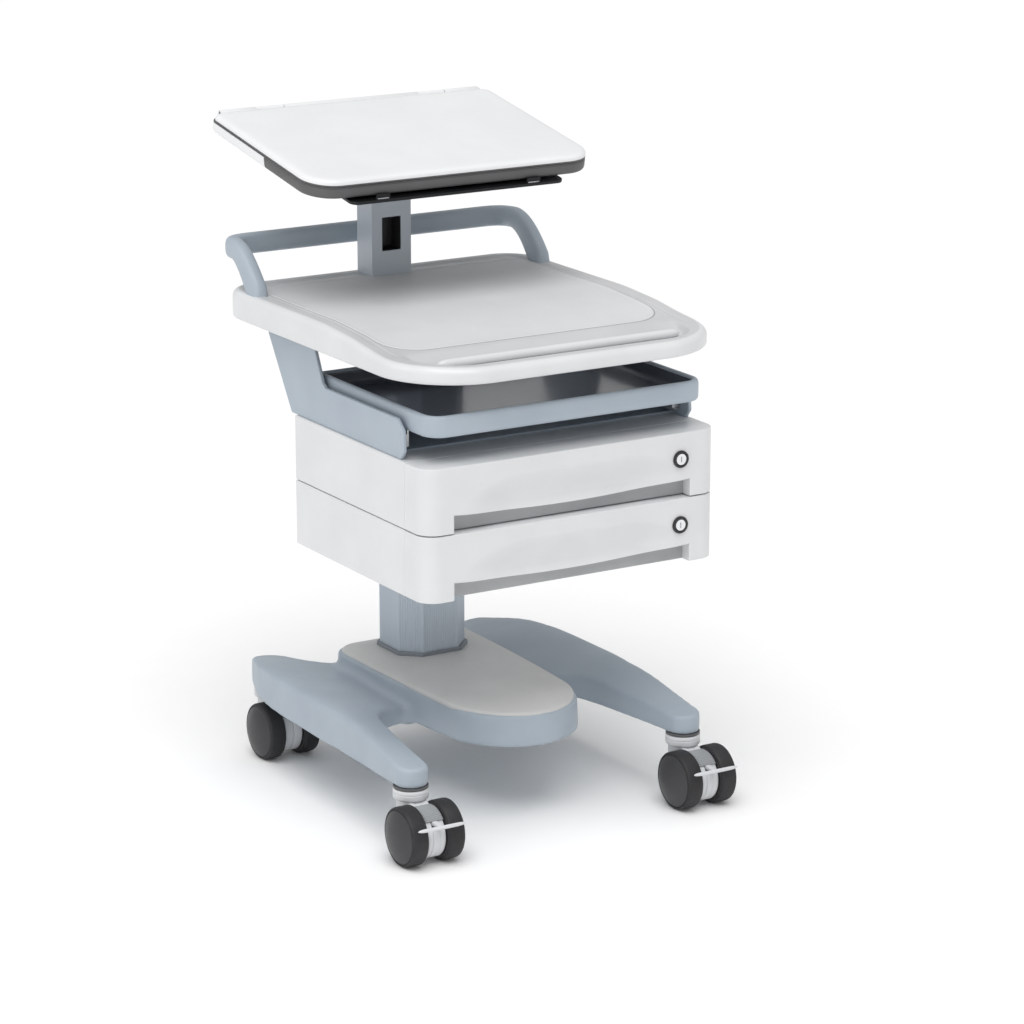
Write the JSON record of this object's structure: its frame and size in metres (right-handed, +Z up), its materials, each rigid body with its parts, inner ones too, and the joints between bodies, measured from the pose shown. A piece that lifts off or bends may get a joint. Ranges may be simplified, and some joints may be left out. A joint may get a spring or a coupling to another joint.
{
  "type": "ultrasound machine",
  "caption": "Folding ultrasound console on a tilting plate over a trolley with worktop, keyboard tray, locking drawers, column and braked twin-wheel casters.",
  "frame": {"origin": "middle of the footprint, on the floor", "axes": "+X to the right seen from the front, +Y to the back, +Z up"},
  "size_m": [0.494, 0.5881, 0.8512],
  "materials": {
    "painted_casting": "satin blue-grey powder coat",
    "painted_steel": "satin blue-grey powder coat",
    "grey_plastic": "satin blue-grey moulding",
    "white_plastic": "semi-gloss white moulding",
    "pale_plastic": "fine-grained light grey moulding",
    "caster_nylon": "satin light grey nylon",
    "dark_plastic": "fine-grained dark grey moulding",
    "black_plastic": "matte black",
    "black_plate": "black anodised",
    "steel": "zinc plated",
    "wheel": "charcoal polyurethane",
    "circuit_board": "solder mask green",
    "screen": "glossy black"
  },
  "bodies": {
    "base": {"base_casting": "painted_casting", "base_cap": "pale_plastic", "ballast_plate": "steel", "column": "painted_casting", "column_collar": "dark_plastic", "caster_stems": "steel", "frame_bolts": "steel", "upper_housing": "white_plastic", "lower_housing": "white_plastic", "drawer_fixed_rails": "steel", "left_side_plate": "painted_steel", "right_side_plate": "painted_steel", "bay_shelf": "painted_steel", "tray_fixed_rails": "steel", "worktop": "white_plastic", "worktop_mat": "pale_plastic", "worktop_frame": "steel", "grab_handle": "painted_casting", "post": "painted_steel"},
    "upper_drawer": {"upper_drawer_box": "pale_plastic", "upper_drawer_front": "white_plastic", "upper_drawer_rails": "steel", "upper_lock_body": "black_plastic"},
    "upper_lock": {"upper_lock_cylinder": "steel"},
    "lower_drawer": {"lower_drawer_box": "pale_plastic", "lower_drawer_front": "white_plastic", "lower_drawer_rails": "steel", "lower_lock_body": "black_plastic"},
    "lower_lock": {"lower_lock_cylinder": "steel"},
    "tray": {"keyboard_tray": "grey_plastic", "tray_moving_rails": "steel"},
    "console": {"tilt_bracket": "dark_plastic", "console_plate": "black_plate", "plate_screws": "steel", "console_case": "white_plastic", "control_deck": "dark_plastic", "keyboard": "black_plastic", "battery_pack": "black_plastic", "main_board": "circuit_board", "lid_hinge": "steel"},
    "lid": {"lid_shell": "white_plastic", "lid_bezel": "black_plastic", "display_panel": "screen"},
    "trackball": {"trackball": "pale_plastic"},
    "gain_knob": {"gain_knob": "dark_plastic"},
    "freeze_button": {"freeze_button": "pale_plastic"},
    "front_left_caster": {"front_left_housing": "caster_nylon"},
    "front_left_wheel_outer": {"front_left_wheel_outer": "wheel"},
    "front_left_wheel_inner": {"front_left_wheel_inner": "wheel"},
    "front_left_brake": {"front_left_brake": "caster_nylon"},
    "front_right_caster": {"front_right_housing": "caster_nylon"},
    "front_right_wheel_outer": {"front_right_wheel_outer": "wheel"},
    "front_right_wheel_inner": {"front_right_wheel_inner": "wheel"},
    "front_right_brake": {"front_right_brake": "caster_nylon"},
    "rear_left_caster": {"rear_left_housing": "caster_nylon"},
    "rear_left_wheel_outer": {"rear_left_wheel_outer": "wheel"},
    "rear_left_wheel_inner": {"rear_left_wheel_inner": "wheel"},
    "rear_right_caster": {"rear_right_housing": "caster_nylon"},
    "rear_right_wheel_outer": {"rear_right_wheel_outer": "wheel"},
    "rear_right_wheel_inner": {"rear_right_wheel_inner": "wheel"}
  },
  "joints": [
    {"name": "upper_drawer_slide", "type": "slide", "parent": "base", "child": "upper_drawer", "axis": [0, -1, 0], "range_m": [0, 0.24]},
    {"name": "lower_drawer_slide", "type": "slide", "parent": "base", "child": "lower_drawer", "axis": [0, -1, 0], "range_m": [0, 0.24]},
    {"name": "keyboard_tray_slide", "type": "slide", "parent": "base", "child": "tray", "axis": [0, -1, 0], "range_m": [0, 0.2]},
    {"name": "console_tilt", "type": "hinge", "parent": "base", "child": "console", "pos_m": [0, 0.199, 0.788], "axis": [1, 0, 0], "range_deg": [-8, 12]},
    {"name": "lid_hinge", "type": "hinge", "parent": "console", "child": "lid", "pos_m": [0, 0.28636, 0.84642], "axis": [-1, 0, 0], "range_deg": [0, 125]},
    {"name": "upper_lock_turn", "type": "hinge", "parent": "upper_drawer", "child": "upper_lock", "pos_m": [0.154, -0.27, 0.466], "axis": [0, -1, 0], "range_deg": [0, 90]},
    {"name": "lower_lock_turn", "type": "hinge", "parent": "lower_drawer", "child": "lower_lock", "pos_m": [0.154, -0.27, 0.382], "axis": [0, -1, 0], "range_deg": [0, 90]},
    {"name": "trackball_roll", "type": "hinge", "parent": "console", "child": "trackball", "pos_m": [0, 0.06855, 0.79633], "axis": [1, 0, 0], "continuous": true},
    {"name": "gain_knob_turn", "type": "hinge", "parent": "console", "child": "gain_knob", "pos_m": [0.15, 0.06815, 0.7986], "axis": [0, -0.1736, 0.9848], "continuous": true},
    {"name": "freeze_button_press", "type": "slide", "parent": "console", "child": "freeze_button", "axis": [0, 0.1736, -0.9848], "range_m": [0, 0.0015], "stiffness_N_per_m": 500},
    {"name": "front_left_swivel", "type": "hinge", "parent": "base", "child": "front_left_caster", "pos_m": [-0.2, -0.214, 0.088], "axis": [0, 0, 1], "continuous": true},
    {"name": "front_left_wheel_outer_spin", "type": "hinge", "parent": "front_left_caster", "child": "front_left_wheel_outer", "pos_m": [-0.2, -0.248, 0.0375], "axis": [1, 0, 0], "continuous": true},
    {"name": "front_left_wheel_inner_spin", "type": "hinge", "parent": "front_left_caster", "child": "front_left_wheel_inner", "pos_m": [-0.2, -0.248, 0.0375], "axis": [1, 0, 0], "continuous": true},
    {"name": "front_left_brake_press", "type": "hinge", "parent": "front_left_caster", "child": "front_left_brake", "pos_m": [-0.2, -0.2675, 0.057], "axis": [1, 0, 0], "range_deg": [0, 18]},
    {"name": "front_right_swivel", "type": "hinge", "parent": "base", "child": "front_right_caster", "pos_m": [0.2, -0.214, 0.088], "axis": [0, 0, 1], "continuous": true},
    {"name": "front_right_wheel_outer_spin", "type": "hinge", "parent": "front_right_caster", "child": "front_right_wheel_outer", "pos_m": [0.2, -0.248, 0.0375], "axis": [1, 0, 0], "continuous": true},
    {"name": "front_right_wheel_inner_spin", "type": "hinge", "parent": "front_right_caster", "child": "front_right_wheel_inner", "pos_m": [0.2, -0.248, 0.0375], "axis": [1, 0, 0], "continuous": true},
    {"name": "front_right_brake_press", "type": "hinge", "parent": "front_right_caster", "child": "front_right_brake", "pos_m": [0.2, -0.2675, 0.057], "axis": [1, 0, 0], "range_deg": [0, 18]},
    {"name": "rear_left_swivel", "type": "hinge", "parent": "base", "child": "rear_left_caster", "pos_m": [-0.16, 0.232, 0.088], "axis": [0, 0, 1], "continuous": true},
    {"name": "rear_left_wheel_outer_spin", "type": "hinge", "parent": "rear_left_caster", "child": "rear_left_wheel_outer", "pos_m": [-0.16, 0.198, 0.0375], "axis": [1, 0, 0], "continuous": true},
    {"name": "rear_left_wheel_inner_spin", "type": "hinge", "parent": "rear_left_caster", "child": "rear_left_wheel_inner", "pos_m": [-0.16, 0.198, 0.0375], "axis": [1, 0, 0], "continuous": true},
    {"name": "rear_right_swivel", "type": "hinge", "parent": "base", "child": "rear_right_caster", "pos_m": [0.16, 0.232, 0.088], "axis": [0, 0, 1], "continuous": true},
    {"name": "rear_right_wheel_outer_spin", "type": "hinge", "parent": "rear_right_caster", "child": "rear_right_wheel_outer", "pos_m": [0.16, 0.198, 0.0375], "axis": [1, 0, 0], "continuous": true},
    {"name": "rear_right_wheel_inner_spin", "type": "hinge", "parent": "rear_right_caster", "child": "rear_right_wheel_inner", "pos_m": [0.16, 0.198, 0.0375], "axis": [1, 0, 0], "continuous": true}
  ]
}
